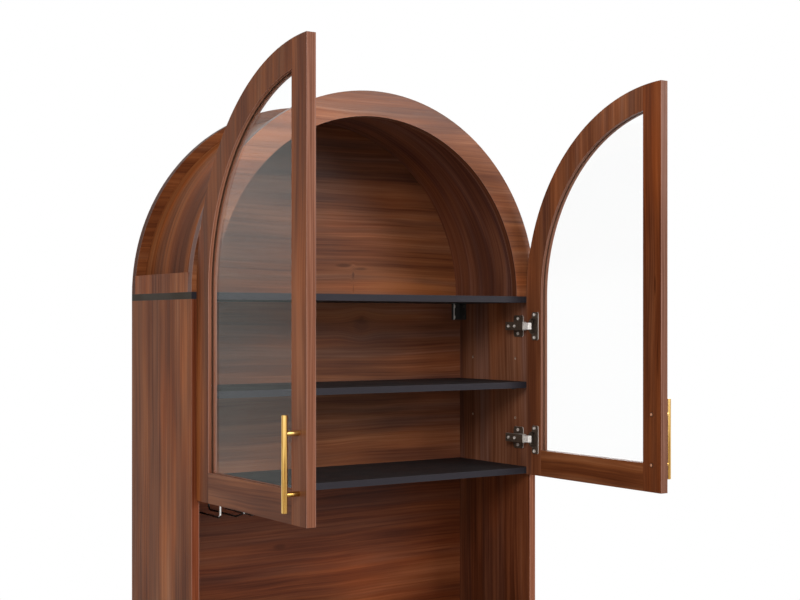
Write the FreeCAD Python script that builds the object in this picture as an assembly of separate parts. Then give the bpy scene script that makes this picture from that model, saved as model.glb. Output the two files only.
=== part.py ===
import FreeCAD, Part
import math
import os

# Arched display cabinet: boards, bent arch shell, two glass doors on cup hinges, a wire rack.
# Millimetres, Z up, Y from the front to the back. It is worked out with Y zero in the plane of the
# carcass front, and saved with the origin on the floor in the middle of the plinth's foot.
# The doors are modelled standing open at a right angle, which is the rest position.

# Overall sizes
width = 800.0
carcass_depth = 275.0
body_height = 1400.0
plinth_height = 80.0
clear_height = 350.0
counter_top = 700.0
low_shelf_top = 393.0

# Board stock
side_thick = 15.0
board_thick = 13.0
stock_thick = 17.0
back_thick = 15.0
back_recess = 10.0
plinth_thick = 15.0
plinth_setback = 20.0

# Arch
ring_width = 50.0
shell_recess = 20.0
shell_thick = 11.0
lining_thick = 15.0
groove_depth = 4.0
groove_play = 0.1
strip_height = 36.0

# Loose shelves and their pins
shelf_side_play = 1.0
shelf_back_play = 1.0
pin_radius = 2.45
pin_play = 0.05
pin_in = 9.5
pin_out = 9.0
pin_hole_deep = 10.0
pin_inset = 49.0
pin_step = 64.0
pin_steps = (-1, 0, 1)

# Glued dowels
dowel_radius = 3.0
dowel_play = 0.05
dowel_in_side = 11.0
dowel_in_board = 15.0
dowel_in_flat = 8.0
dowel_in_end = 18.0
dowel_end_play = 0.5
board_dowel_shares = (0.16, 0.84)
side_top_dowel_shares = (0.15, 0.45, 0.75)
strip_dowel_shares = (0.3, 0.7)
back_dowel_shares = (0.12, 0.42, 0.7, 0.95)
plinth_dowel_shares = (0.3, 0.7)
foot_dowel_share = 0.5
lining_dowel_share = 0.6

# Doors
door_gap = 2.4
centre_gap = 3.0
door_drop = 1.0
stile_width = 48.0
rail_height = 54.0
glass_thick = 4.0
glass_side_play = 0.05
glass_groove = 8.0
glass_edge_play = 0.3
tongue_play = 0.04
tongue_setback = 10.0

# Cup hinge, measured from the outer front corner of the carcass and from the door edge
door_pivot_from_edge = 11.2
door_pivot_deep = 2.2
open_face_inset = 25.8
link_turn = 46.6
door_turn = 90.0
cup_from_edge = 21.5
cup_radius = 17.5
cup_deep = 11.5
cup_wall = 1.0
cup_play = 0.05
cheek_inset = 7.4
cheek_half_width = 3.2
cheek_deep = 6.0
cheek_trim = 0.7
flange_thick = 2.0
flange_height = 59.0
flange_from_edge = 20.0
flange_width = 20.5
flange_corner = 4.0
cup_screw_from_edge = 28.5
cup_screw_spacing = 48.0
link_half_height = 7.0
link_half_thick = 1.7
link_eye_in = 2.9
link_eye_out = 2.5
link_rise = 0.74
link_run = 11.2
link_hook = 4.4
link_back = 2.1
hinge_pin_radius = 1.25
hinge_pin_play = 0.04
arm_pin_half = 8.8
cup_pin_half = 12.2
plate_front = 20.0
plate_length = 32.0
plate_height = 46.0
plate_thick = 2.0
plate_corner = 5.0
plate_screw_back = 37.0
plate_screw_spacing = 32.0
block_front = 23.0
block_back = 57.0
block_half_height = 7.1
arm_front = 1.6
arm_back = 60.0
arm_web = 1.5
arm_web_off = 3.64
arm_half_height = 8.8
arm_cheek = 1.5
arm_cheek_rise = 5.0
arm_tail_rise = 3.0
arm_seat = 0.1
arm_screw_backs = (29.0, 50.0)
arm_head_radius = 3.0
arm_head_high = 1.6
arm_screw_radius = 2.0
arm_screw_long = 9.0
hinge_low = 75.0
hinge_drop = 50.0

# Wood screws, cross head
screw_radius = 1.75
screw_head_radius = 3.4
screw_head_high = 1.4
screw_play = 0.05
side_screw_long = 11.0
cup_screw_long = 13.0
slot_width = 0.9
slot_deep = 0.7
slot_share = 0.7

# Handles
handle_up = 99.5
handle_spacing = 96.0
handle_length = 154.0
handle_bar_radius = 5.0
handle_bar_chamfer = 0.6
handle_post_radius = 4.2
handle_standoff = 26.0
post_spigot_radius = 2.6
post_spigot_in = 4.0
post_play = 0.02
handle_screw_radius = 2.0
handle_screw_head = 3.9
handle_screw_high = 2.0
handle_screw_in = 12.0
handle_hole_extra = 1.0

# Corner brackets under the top board
bracket_leg = 24.0
bracket_height = 36.0
bracket_thick = 2.0
bracket_screw_in = 18.0
bracket_screw_edge = 6.0
bracket_screw_long = 10.0

# Wire rack for stemmed glasses
rack_from_side = 98.5
rail_spread = 16.5
hanger_spread = 49.5
wire_radius = 1.75
rack_drop = 39.0
rack_front = 14.0
rack_back = 130.0
wire_bend = 8.0
tip_run = 32.0
tip_rise = 10.2
strip_width = 14.0
strip_thick = 2.0
strip_overhang = 8.0
rack_weld_play = 0.03
rack_screw_spread = 33.0
rack_screw_long = 9.0

# Derived places
half = width / 2
inner = half - side_thick
top_board_bottom = body_height - board_thick
arch_radius = half
ring_inner = arch_radius - ring_width
shell_out = arch_radius - shell_recess
shell_in = shell_out - shell_thick
ring_back = stock_thick
plate_face = carcass_depth - stock_thick
lining_face = plate_face - lining_thick
back_face = carcass_depth - back_recess - back_thick
lower_board_top = top_board_bottom - clear_height
lower_board_bottom = lower_board_top - board_thick
middle_bottom = lower_board_top + (clear_height - board_thick) / 2
bottom_board_top = plinth_height + board_thick
door_bottom = lower_board_bottom - door_drop
door_width = half - centre_gap / 2
hinge_heights = (door_bottom + hinge_low, top_board_bottom - hinge_drop)
open_face = half - open_face_inset
handle_s = door_width - stile_width / 2
handle_z = door_bottom + handle_up
rack_level = lower_board_bottom - rack_drop
rack_centre = rack_from_side - inner
origin_back = plinth_setback + plinth_thick / 2
fixed_board_tops = (lower_board_top, counter_top, bottom_board_top)
loose_board_bottoms = (middle_bottom, low_shelf_top - board_thick)
axis_x = FreeCAD.Vector(1, 0, 0)
axis_y = FreeCAD.Vector(0, 1, 0)
axis_z = FreeCAD.Vector(0, 0, 1)
origin = FreeCAD.Vector(0, 0, 0)

# Hinge pivots in plan for the right door: the link turns about the arm pivot
closed_x = half - door_pivot_from_edge
closed_y = -door_gap - door_pivot_deep
open_x = open_face + door_pivot_deep
open_y = -door_gap - door_pivot_from_edge
step_x = open_x - closed_x
step_y = open_y - closed_y
reach = 1 / math.tan(math.radians(link_turn) / 2) / 2
arm_pivot_x = (closed_x + open_x) / 2 + step_y * reach
arm_pivot_y = (closed_y + open_y) / 2 - step_x * reach


def box(x0, y0, z0, x1, y1, z1):
    return Part.makeBox(x1 - x0, y1 - y0, z1 - z0, FreeCAD.Vector(x0, y0, z0))


def rod(x, y, z, radius, length, along):
    return Part.makeCylinder(radius, length, FreeCAD.Vector(x, y, z), along)


def mirrored(shape):
    return shape.mirror(origin, axis_x)


def joined(shapes):
    whole = shapes[0]
    if len(shapes) > 1:
        whole = whole.fuse(shapes[1:])
    return whole.removeSplitter()


def cut_all(shape, tools):
    if not tools:
        return shape
    return shape.cut(Part.makeCompound(tools))


def rounded(shape, along, radius):
    edges = []
    for edge in shape.Edges:
        run = edge.Vertexes[-1].Point - edge.Vertexes[0].Point
        if run.Length > 0 and abs(run.normalize().dot(along)) > math.cos(math.radians(1)):
            edges.append(edge)
    return shape.makeFillet(radius, edges)


def save(name, solids):
    os.makedirs("parts", exist_ok=True)
    shape = solids[0] if len(solids) == 1 else Part.makeCompound(solids)
    shape = shape.translated(FreeCAD.Vector(0, -origin_back, 0))
    shape.exportStep("parts/" + name + ".step")


def profile(points, y0, y1):
    """Solid between two depths from plain points and (mid, end) arcs in the XZ plane."""
    edges = []
    here = FreeCAD.Vector(points[0][0], y0, points[0][1])
    start = here
    for item in points[1:] + [points[0]]:
        if len(item) == 4:
            mid = FreeCAD.Vector(item[0], y0, item[1])
            end = FreeCAD.Vector(item[2], y0, item[3])
            edges.append(Part.Arc(here, mid, end).toShape())
        else:
            end = FreeCAD.Vector(item[0], y0, item[1])
            if (end - here).Length > 0:
                edges.append(Part.makeLine(here, end))
        here = end
    face = Part.Face(Part.Wire(edges))
    return face.extrude(FreeCAD.Vector(0, y1 - y0, 0))


def half_disc(radius, y0, y1):
    top = body_height + radius
    arc = (0, top, radius, body_height)
    return profile([(-radius, body_height), arc], y0, y1)


def half_ring(inside, outside, y0, y1):
    return half_disc(outside, y0, y1).cut(half_disc(inside, y0, y1))


# Dowels
def side_dowels():
    """Places of the dowels that lie along X: (y, z, into the board end)."""
    places = []
    for top in fixed_board_tops:
        for share in board_dowel_shares:
            places.append((back_face * share, top - board_thick / 2))
    for share in back_dowel_shares:
        places.append((back_face + back_thick / 2, top_board_bottom * share))
    for share in plinth_dowel_shares:
        places.append((plinth_setback + plinth_thick / 2, plinth_height * share))
    return places


def flat_dowels():
    """Places of upright dowels in the top board: (x, y, from above)."""
    places = []
    for share in side_top_dowel_shares:
        places.append((half - side_thick / 2, carcass_depth * share, False))
    strip_run = plate_face - ring_back
    for share in strip_dowel_shares:
        places.append((half - shell_recess / 2, ring_back + strip_run * share, True))
    foot_x = half - ring_width * foot_dowel_share
    places.append((foot_x, stock_thick / 2, True))
    places.append((foot_x, plate_face + stock_thick / 2, True))
    places.append((foot_x - half, plate_face + stock_thick / 2, True))
    places.append((half * lining_dowel_share, lining_face + lining_thick / 2, True))
    return places


def dowel_solids():
    solids = []
    for y, z in side_dowels():
        start = inner - dowel_in_board
        one = rod(start, y, z, dowel_radius, dowel_in_board + dowel_in_side, axis_x)
        solids += [one, mirrored(one)]
    for x, y, above in flat_dowels():
        low = body_height - dowel_in_flat if above else top_board_bottom - dowel_in_end
        high = low + dowel_in_flat + dowel_in_end
        one = rod(x, y, low, dowel_radius, high - low, axis_z)
        solids += [one, mirrored(one)]
    return solids


def dowel_holes():
    solids = []
    hole = dowel_radius + dowel_play
    for y, z in side_dowels():
        start = inner - dowel_in_board - dowel_end_play
        long = dowel_in_board + dowel_in_side + dowel_end_play + dowel_end_play
        one = rod(start, y, z, hole, long, axis_x)
        solids += [one, mirrored(one)]
    for x, y, above in flat_dowels():
        low = body_height - dowel_in_flat if above else top_board_bottom - dowel_in_end
        high = low + dowel_in_flat + dowel_in_end
        one = rod(x, y, low - dowel_end_play, hole, high - low + dowel_end_play + dowel_end_play, axis_z)
        solids += [one, mirrored(one)]
    return solids


# Screws
def cross_slots(radius, high, slot):
    arm = radius * slot_share
    across = slot / 2
    deep = slot_deep
    one = box(-arm, -across, high - deep, arm, across, high + deep)
    two = box(-across, -arm, high - deep, across, arm, high + deep)
    return [one, two]


def screw(point, inward, radius, head_radius, head_high, long):
    """Cross head screw: head outside the face at the point, shank going inward."""
    head = rod(0, 0, 0, head_radius, head_high, axis_z)
    shank = rod(0, 0, -long, radius, long, axis_z)
    solid = cut_all(joined([head, shank]), cross_slots(head_radius, head_high, slot_width))
    turn = FreeCAD.Rotation(FreeCAD.Vector(0, 0, -1), inward)
    solid.Placement = FreeCAD.Placement(point, turn)
    return solid


def screw_hole(point, inward, radius, long):
    out = point - inward * screw_head_high
    return Part.makeCylinder(radius + screw_play, long + screw_head_high + dowel_end_play, out, inward)


def plate_screw_points():
    points = []
    for z in hinge_heights:
        for side in (-1, 1):
            up = z + side * plate_screw_spacing / 2
            points.append(FreeCAD.Vector(inner - plate_thick, plate_screw_back, up))
    return points


def bracket_screw_points():
    """Two lists: screws into the side, screws into the back panel."""
    low = top_board_bottom - bracket_height + bracket_screw_edge
    high = top_board_bottom - bracket_screw_edge
    side_points = []
    back_points = []
    for z in (low, high):
        side_points.append(FreeCAD.Vector(inner - bracket_thick, back_face - bracket_screw_in, z))
        back_points.append(FreeCAD.Vector(inner - bracket_screw_in, back_face - bracket_thick, z))
    return side_points, back_points


def rack_screw_points():
    points = []
    for y in (rack_front, rack_back):
        for side in (-1, 1):
            x = rack_centre + side * rack_screw_spread
            points.append(FreeCAD.Vector(x, y, lower_board_bottom - strip_thick))
    return points


# Carcass
def shelf_pin_places(bottom):
    places = []
    for y in (pin_inset, back_face - pin_inset):
        places.append((y, bottom - pin_radius))
    return places


def side_panel():
    panel = box(inner, 0, 0, half, carcass_depth, top_board_bottom)
    tools = dowel_holes()
    for bottom in loose_board_bottoms:
        for y, z in shelf_pin_places(bottom):
            for step in pin_steps:
                up = z + step * pin_step
                tools.append(rod(inner, y, up, pin_radius + pin_play, pin_hole_deep, axis_x))
    for point in plate_screw_points():
        tools.append(screw_hole(point, axis_x, screw_radius, side_screw_long))
    for point in bracket_screw_points()[0]:
        tools.append(screw_hole(point, axis_x, screw_radius, bracket_screw_long))
    return cut_all(panel, tools)


def fixed_board(top):
    return cut_all(box(-inner, 0, top - board_thick, inner, back_face, top), dowel_holes())


def loose_board(bottom):
    reach_x = inner - shelf_side_play
    return box(-reach_x, 0, bottom, reach_x, back_face - shelf_back_play, bottom + board_thick)


def back_panel():
    panel = box(-inner, back_face, 0, inner, back_face + back_thick, top_board_bottom)
    tools = dowel_holes()
    for point in bracket_screw_points()[1]:
        hole = screw_hole(point, axis_y, screw_radius, bracket_screw_long)
        tools += [hole, mirrored(hole)]
    return cut_all(panel, tools)


def shelf_pins():
    solids = []
    for bottom in loose_board_bottoms:
        for y, z in shelf_pin_places(bottom):
            one = rod(inner - pin_out, y, z, pin_radius, pin_out + pin_in, axis_x)
            solids += [one, mirrored(one)]
    return solids


def arch_groove(y0, y1):
    return half_ring(shell_in - groove_play, shell_out + groove_play, y0, y1)


def arch_ring():
    ring = half_ring(ring_inner, arch_radius, 0, stock_thick)
    ring = ring.cut(arch_groove(stock_thick - groove_depth, stock_thick))
    return cut_all(ring, dowel_holes())


def arch_back():
    plate = half_disc(arch_radius, plate_face, carcass_depth)
    plate = plate.cut(arch_groove(plate_face, plate_face + groove_depth))
    return cut_all(plate, dowel_holes())


def arch_lining():
    lining = half_disc(shell_in - groove_play, lining_face, plate_face)
    return cut_all(lining, dowel_holes())


def arch_shell():
    end = groove_depth - groove_play
    return half_ring(shell_in, shell_out, ring_back - end, plate_face + end)


def end_strip():
    top = body_height + strip_height
    strip = box(shell_out, ring_back, body_height, half, plate_face, top)
    return cut_all(strip, dowel_holes())


def bracket():
    low = top_board_bottom - bracket_height
    on_side = box(inner - bracket_thick, back_face - bracket_leg, low, inner, back_face, top_board_bottom)
    on_back = box(inner - bracket_leg, back_face - bracket_thick, low, inner, back_face, top_board_bottom)
    tools = []
    for point in bracket_screw_points()[0]:
        tools.append(screw_hole(point, axis_x, screw_radius, bracket_screw_long))
    for point in bracket_screw_points()[1]:
        tools.append(screw_hole(point, axis_y, screw_radius, bracket_screw_long))
    return cut_all(joined([on_side, on_back]), tools)


def bracket_screws():
    solids = []
    for inward, points in zip((axis_x, axis_y), bracket_screw_points()):
        for point in points:
            one = screw(point, inward, screw_radius, screw_head_radius, screw_head_high, bracket_screw_long)
            solids += [one, mirrored(one)]
    return solids


# Wire rack
def swept_wire(points, radius):
    """Round wire along points in a YZ plane, with rounded corners."""
    edges = []
    here = points[0]
    for index in range(1, len(points) - 1):
        before = (points[index] - points[index - 1]).normalize()
        after = (points[index + 1] - points[index]).normalize()
        half_turn = before.getAngle(after) / 2
        back = wire_bend * math.tan(half_turn)
        first = points[index] - before * back
        last = points[index] + after * back
        bisector = (after - before).normalize()
        centre = points[index] + bisector * (wire_bend / math.cos(half_turn))
        middle = centre - bisector * wire_bend
        edges.append(Part.makeLine(here, first))
        edges.append(Part.Arc(first, middle, last).toShape())
        here = last
    edges.append(Part.makeLine(here, points[-1]))
    path = Part.Wire(edges)
    along = (points[1] - points[0]).normalize()
    ring = Part.Wire(Part.makeCircle(radius, points[0], along))
    return path.makePipeShell([ring], True, True)


def hanger_wire(x):
    top = lower_board_bottom
    points = [
        FreeCAD.Vector(x, rack_back, top),
        FreeCAD.Vector(x, rack_back, rack_level),
        FreeCAD.Vector(x, rack_front, rack_level),
        FreeCAD.Vector(x, rack_front, top),
    ]
    return swept_wire(points, wire_radius)


def rail_wire(x):
    points = [
        FreeCAD.Vector(x, rack_back, lower_board_bottom),
        FreeCAD.Vector(x, rack_back, rack_level),
        FreeCAD.Vector(x, rack_front, rack_level),
        FreeCAD.Vector(x, rack_front - tip_run, rack_level + tip_rise),
    ]
    return swept_wire(points, wire_radius)


def rack_strip(y):
    x0 = rack_centre - hanger_spread - strip_overhang
    x1 = rack_centre + hanger_spread + strip_overhang
    low = lower_board_bottom - strip_thick
    strip = box(x0, y - strip_width / 2, low, x1, y + strip_width / 2, lower_board_bottom)
    spreads = [hanger_spread] if y == rack_front else [hanger_spread, rail_spread]
    tools = []
    for spread in spreads:
        for side in (-1, 1):
            hole = wire_radius + rack_weld_play
            tools.append(rod(rack_centre + side * spread, y, low, hole, strip_thick, axis_z))
    for point in rack_screw_points():
        tools.append(screw_hole(point, axis_z, screw_radius, rack_screw_long))
    return cut_all(strip, tools)


def rack_screws():
    solids = []
    for point in rack_screw_points():
        solids.append(screw(point, axis_z, screw_radius, screw_head_radius, screw_head_high, rack_screw_long))
    return solids


def lower_board():
    tools = []
    for point in rack_screw_points():
        tools.append(screw_hole(point, axis_z, screw_radius, rack_screw_long))
    return cut_all(fixed_board(lower_board_top), tools)


# Hinges, right hand
def hinge_plate(z):
    low = z - plate_height / 2
    back = plate_front + plate_length
    wing = box(inner - plate_thick, plate_front, low, inner, back, low + plate_height)
    wing = rounded(wing, axis_x, plate_corner)
    top = arm_pivot_x - arm_web_off + arm_seat
    block = box(top, block_front, z - block_half_height, inner, block_back, z + block_half_height)
    tools = []
    for point in plate_screw_points():
        tools.append(screw_hole(point, axis_x, screw_radius, side_screw_long))
    for back_y in arm_screw_backs:
        tools.append(rod(top, back_y, z, arm_screw_radius + screw_play, arm_screw_long, axis_x))
    return cut_all(joined([wing, block]), tools)


def hinge_arm(z):
    face = arm_pivot_x - arm_web_off
    web = box(face - arm_web, arm_front, z - arm_half_height, face, arm_back, z + arm_half_height)
    parts = [web]
    for side in (-1, 1):
        outer = z + side * arm_half_height
        within = outer - side * arm_cheek
        low = min(outer, within)
        high = max(outer, within)
        nose_end = arm_pivot_x + arm_cheek_rise
        parts.append(box(face, arm_front, low, nose_end, block_front, high))
        parts.append(box(face, block_front, low, face + arm_tail_rise, arm_back, high))
    tools = [rod(arm_pivot_x, arm_pivot_y, z - arm_half_height, hinge_pin_radius + hinge_pin_play,
                 arm_half_height + arm_half_height, axis_z)]
    for back_y in arm_screw_backs:
        tools.append(rod(face - arm_web, back_y, z, arm_screw_radius + screw_play, arm_web, axis_x))
    return cut_all(joined(parts), tools)


def arm_screws(z):
    face = arm_pivot_x - arm_web_off - arm_web
    solids = []
    for back_y in arm_screw_backs:
        point = FreeCAD.Vector(face, back_y, z)
        solids.append(screw(point, axis_x, arm_screw_radius, arm_head_radius, arm_head_high, arm_screw_long))
    return solids


def bar_between(p, q, thick, z0, z1):
    run = FreeCAD.Vector(q[0] - p[0], q[1] - p[1], 0)
    side = FreeCAD.Vector(-run.y, run.x, 0).normalize() * thick
    a = FreeCAD.Vector(p[0], p[1], z0)
    b = FreeCAD.Vector(q[0], q[1], z0)
    wire = Part.makePolygon([a + side, b + side, b - side, a - side, a + side])
    return Part.Face(wire).extrude(FreeCAD.Vector(0, 0, z1 - z0))


def hinge_link(z):
    z0 = z - link_half_height
    z1 = z + link_half_height
    tall = z1 - z0
    a = (arm_pivot_x, arm_pivot_y)
    b = (arm_pivot_x - link_rise, arm_pivot_y - link_run)
    c = (open_x - link_hook, open_y + link_back)
    d = (open_x, open_y)
    parts = [rod(a[0], a[1], z0, link_eye_in, tall, axis_z), rod(d[0], d[1], z0, link_eye_out, tall, axis_z)]
    for p, q in ((a, b), (b, c), (c, d)):
        parts.append(bar_between(p, q, link_half_thick, z0, z1))
    for p in (b, c):
        parts.append(rod(p[0], p[1], z0, link_half_thick, tall, axis_z))
    tools = []
    for p in (a, d):
        tools.append(rod(p[0], p[1], z0, hinge_pin_radius + hinge_pin_play, tall, axis_z))
    return cut_all(joined(parts), tools)


def arm_pin(z):
    return rod(arm_pivot_x, arm_pivot_y, z - arm_pin_half, hinge_pin_radius, arm_pin_half + arm_pin_half, axis_z)


# Door parts, first in door places: x from the hinge edge, y from the inner face outward
def placed(shape):
    """Right door standing open."""
    shape.Placement = FreeCAD.Placement(
        FreeCAD.Vector(open_face, -door_gap, 0), FreeCAD.Rotation(axis_z, -door_turn)).multiply(shape.Placement)
    return shape


def outline(y0, y1):
    top = body_height + math.sqrt(half * half - (half - door_width) * (half - door_width))
    way = math.radians(door_turn) / 2
    mid = (half - half * math.cos(way), body_height + half * math.sin(way))
    arc = (mid[0], mid[1], door_width, top)
    return profile([(0, door_bottom), (0, body_height), arc, (door_width, door_bottom)], y0, y1)


def window(grow, y0, y1):
    left = stile_width - grow
    right = door_width - stile_width + grow
    low = door_bottom + rail_height - grow
    radius = half - left
    top = body_height + math.sqrt(radius * radius - (half - right) * (half - right))
    way = math.acos((half - right) / radius) / 2
    mid = (half - radius * math.cos(way), body_height + radius * math.sin(way))
    arc = (mid[0], mid[1], right, top)
    return profile([(left, low), (left, body_height), arc, (right, low)], y0, y1)


def tongue_boxes(play):
    """Tongues of the rail in both stiles and of the arch in the free stile."""
    mid = stock_thick / 2
    y0 = mid - glass_thick / 2 - play
    y1 = mid + glass_thick / 2 + play
    long = glass_groove - glass_edge_play + play
    left = stile_width
    right = door_width - stile_width
    low = door_bottom + tongue_setback - play
    high = door_bottom + rail_height - glass_groove
    arch_in = half - stile_width + glass_groove
    from_middle = half - right - glass_groove
    arch_low = body_height + math.sqrt(arch_in * arch_in - from_middle * from_middle) - play
    arch_high = arch_low + stile_width - glass_groove - tongue_setback + play + play
    return [
        box(left - long, y0, low, left, y1, high),
        box(right, y0, low, right + long, y1, high),
        box(right, y0, arch_low, right + long, y1, arch_high),
    ]


def door_tools():
    mid = stock_thick / 2
    slot = glass_thick / 2 + glass_side_play
    tools = [window(0, 0, stock_thick), window(glass_groove, mid - slot, mid + slot)]
    return tools


def cup_screw_points():
    points = []
    for z in hinge_heights:
        for side in (-1, 1):
            points.append(FreeCAD.Vector(cup_screw_from_edge, -flange_thick, z + side * cup_screw_spacing / 2))
    return points


def handle_screw_points():
    points = []
    for side in (-1, 1):
        points.append(FreeCAD.Vector(handle_s, 0, handle_z + side * handle_spacing / 2))
    return points


def curved_stile():
    right = door_width - stile_width
    top = body_height + half
    piece = outline(0, stock_thick).cut(box(right, 0, door_bottom, half, stock_thick, top))
    piece = piece.cut(box(stile_width, 0, door_bottom, right, stock_thick, door_bottom + rail_height))
    tools = door_tools()
    tools.append(tongue_boxes(tongue_play)[0])
    for z in hinge_heights:
        tools.append(rod(cup_from_edge, 0, z, cup_radius + cup_play, cup_deep + dowel_end_play, axis_y))
    for point in cup_screw_points():
        tools.append(screw_hole(point, axis_y, screw_radius, cup_screw_long))
    piece = cut_all(piece, tools)
    return joined([piece, tongue_boxes(0)[2]])


def free_stile():
    right = door_width - stile_width
    top = body_height + half
    piece = outline(0, stock_thick).common(box(right, 0, door_bottom, half, stock_thick, top))
    tools = door_tools() + tongue_boxes(tongue_play)[1:]
    for point in handle_screw_points():
        tools.append(screw_hole(point, axis_y, handle_screw_radius, stock_thick + handle_hole_extra))
    return cut_all(piece, tools)


def bottom_rail():
    right = door_width - stile_width
    piece = box(stile_width, 0, door_bottom, right, stock_thick, door_bottom + rail_height)
    piece = cut_all(piece, door_tools())
    return joined([piece] + tongue_boxes(0)[:2])


def glass_pane():
    mid = stock_thick / 2
    return window(glass_groove - glass_edge_play, mid - glass_thick / 2, mid + glass_thick / 2)


def hinge_cup(z):
    body = rod(cup_from_edge, 0, z, cup_radius, cup_deep, axis_y)
    low = z - flange_height / 2
    far = flange_from_edge + flange_width
    flange = box(flange_from_edge, -flange_thick, low, far, 0, low + flange_height)
    flange = rounded(flange, axis_y, flange_corner)
    hollow = rod(cup_from_edge, -flange_thick, z, cup_radius - cup_wall, flange_thick + cup_deep - cup_wall, axis_y)
    shell = joined([body, flange]).cut(hollow)
    parts = [shell]
    bound = rod(cup_from_edge, 0, z, cup_radius - cup_wall + cheek_trim, cheek_deep, axis_y)
    x0 = door_pivot_from_edge - cheek_half_width
    x1 = door_pivot_from_edge + cheek_half_width
    for side in (-1, 1):
        a = z + side * cheek_inset
        b = z + side * cup_radius
        parts.append(box(x0, 0, min(a, b), x1, cheek_deep, max(a, b)).common(bound))
    tools = [rod(door_pivot_from_edge, door_pivot_deep, z - cup_pin_half, hinge_pin_radius + hinge_pin_play,
                 cup_pin_half + cup_pin_half, axis_z)]
    for point in cup_screw_points():
        tools.append(screw_hole(point, axis_y, screw_radius, cup_screw_long))
    return cut_all(joined(parts), tools)


def cup_pin(z):
    low = z - cup_pin_half
    return rod(door_pivot_from_edge, door_pivot_deep, low, hinge_pin_radius, cup_pin_half + cup_pin_half, axis_z)


def cup_screws():
    solids = []
    for point in cup_screw_points():
        solids.append(screw(point, axis_y, screw_radius, screw_head_radius, screw_head_high, cup_screw_long))
    return solids


def handle_bar():
    y = stock_thick + handle_standoff
    low = handle_z - handle_length / 2
    bar = rod(handle_s, y, low, handle_bar_radius, handle_length, axis_z)
    rims = [edge for edge in bar.Edges if edge.Closed]
    bar = bar.makeChamfer(handle_bar_chamfer, rims)
    tools = []
    for point in handle_screw_points():
        hole = post_spigot_radius + post_play
        tools.append(rod(point.x, y - handle_bar_radius, point.z, hole, handle_bar_radius + post_play, axis_y))
    return cut_all(bar, tools)


def handle_posts():
    y = stock_thick + handle_standoff
    solids = []
    for point in handle_screw_points():
        post = rod(point.x, stock_thick, point.z, handle_post_radius, handle_standoff, axis_y)
        post = post.cut(rod(handle_s, y, point.z - handle_spacing / 2, handle_bar_radius + post_play,
                            handle_spacing, axis_z))
        tip = y - handle_bar_radius + post_spigot_in
        spigot = rod(point.x, stock_thick + handle_standoff / 2, point.z, post_spigot_radius,
                     tip - stock_thick - handle_standoff / 2, axis_y)
        post = joined([post, spigot])
        hole = handle_screw_radius + screw_play
        solids.append(post.cut(rod(point.x, stock_thick, point.z, hole, handle_screw_in + handle_hole_extra, axis_y)))
    return solids


def handle_screws():
    solids = []
    for point in handle_screw_points():
        solids.append(screw(point, axis_y, handle_screw_radius, handle_screw_head, handle_screw_high,
                            stock_thick + handle_screw_in))
    return solids


def both_sides(solids):
    return solids + [mirrored(solid) for solid in solids]


def save_door(side):
    """Writes one glass door and its moving hinge parts; the left one is the mirror image."""
    nodes = {
        "door_hinge_stile": [curved_stile()],
        "door_free_stile": [free_stile()],
        "door_bottom_rail": [bottom_rail()],
        "door_glass": [glass_pane()],
        "handle_bar": [handle_bar()],
        "handle_posts": handle_posts(),
        "handle_screws": handle_screws(),
        "hinge_cups": [hinge_cup(z) for z in hinge_heights],
        "hinge_cup_pins": [cup_pin(z) for z in hinge_heights],
        "hinge_cup_screws": cup_screws(),
    }
    for name in nodes:
        nodes[name] = [placed(solid) for solid in nodes[name]]
    nodes["hinge_links"] = [hinge_link(z) for z in hinge_heights]
    for name, solids in nodes.items():
        if side == "left":
            solids = [mirrored(solid) for solid in solids]
        save(name + "_" + side, solids)


def build():
    panel = side_panel()
    save("side_panel_right", [panel])
    save("side_panel_left", [mirrored(panel)])
    top = box(-half, 0, top_board_bottom, half, carcass_depth, body_height)
    save("top_board", [cut_all(top, dowel_holes())])
    save("lower_board", [lower_board()])
    save("counter_board", [fixed_board(counter_top)])
    save("bottom_board", [fixed_board(bottom_board_top)])
    save("middle_shelf", [loose_board(middle_bottom)])
    save("low_shelf", [loose_board(low_shelf_top - board_thick)])
    save("back_panel", [back_panel()])
    plinth = box(-inner, plinth_setback, 0, inner, plinth_setback + plinth_thick, plinth_height)
    save("plinth", [cut_all(plinth, dowel_holes())])
    save("board_dowels", dowel_solids())
    save("shelf_pins", shelf_pins())
    save("arch_front_ring", [arch_ring()])
    save("arch_back_plate", [arch_back()])
    save("arch_back_lining", [arch_lining()])
    save("arch_shell", [arch_shell()])
    strip = end_strip()
    save("arch_end_strip_right", [strip])
    save("arch_end_strip_left", [mirrored(strip)])
    save("corner_brackets", both_sides([bracket()]))
    save("corner_bracket_screws", bracket_screws())
    save("rack_hanger_wires", [hanger_wire(rack_centre + side * hanger_spread) for side in (-1, 1)])
    save("rack_rail_wires", [rail_wire(rack_centre + side * rail_spread) for side in (-1, 1)])
    save("rack_strip_front", [rack_strip(rack_front)])
    save("rack_strip_back", [rack_strip(rack_back)])
    save("rack_screws", rack_screws())
    save("hinge_plates", both_sides([hinge_plate(z) for z in hinge_heights]))
    plate_screws = []
    for point in plate_screw_points():
        plate_screws.append(screw(point, axis_x, screw_radius, screw_head_radius, screw_head_high,
                                  side_screw_long))
    save("hinge_plate_screws", both_sides(plate_screws))
    save("hinge_arms", both_sides([hinge_arm(z) for z in hinge_heights]))
    save("hinge_arm_screws", both_sides([one for z in hinge_heights for one in arm_screws(z)]))
    save("hinge_arm_pins", both_sides([arm_pin(z) for z in hinge_heights]))
    save_door("right")
    save_door("left")


build()
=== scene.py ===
import bpy
import math
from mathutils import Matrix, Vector


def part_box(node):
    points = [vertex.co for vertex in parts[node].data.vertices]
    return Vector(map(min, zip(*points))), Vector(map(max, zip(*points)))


# Arched walnut cabinet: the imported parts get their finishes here, with a plain studio round them
# Metres, X to the cabinet's right, Y to the back, Z up

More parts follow.
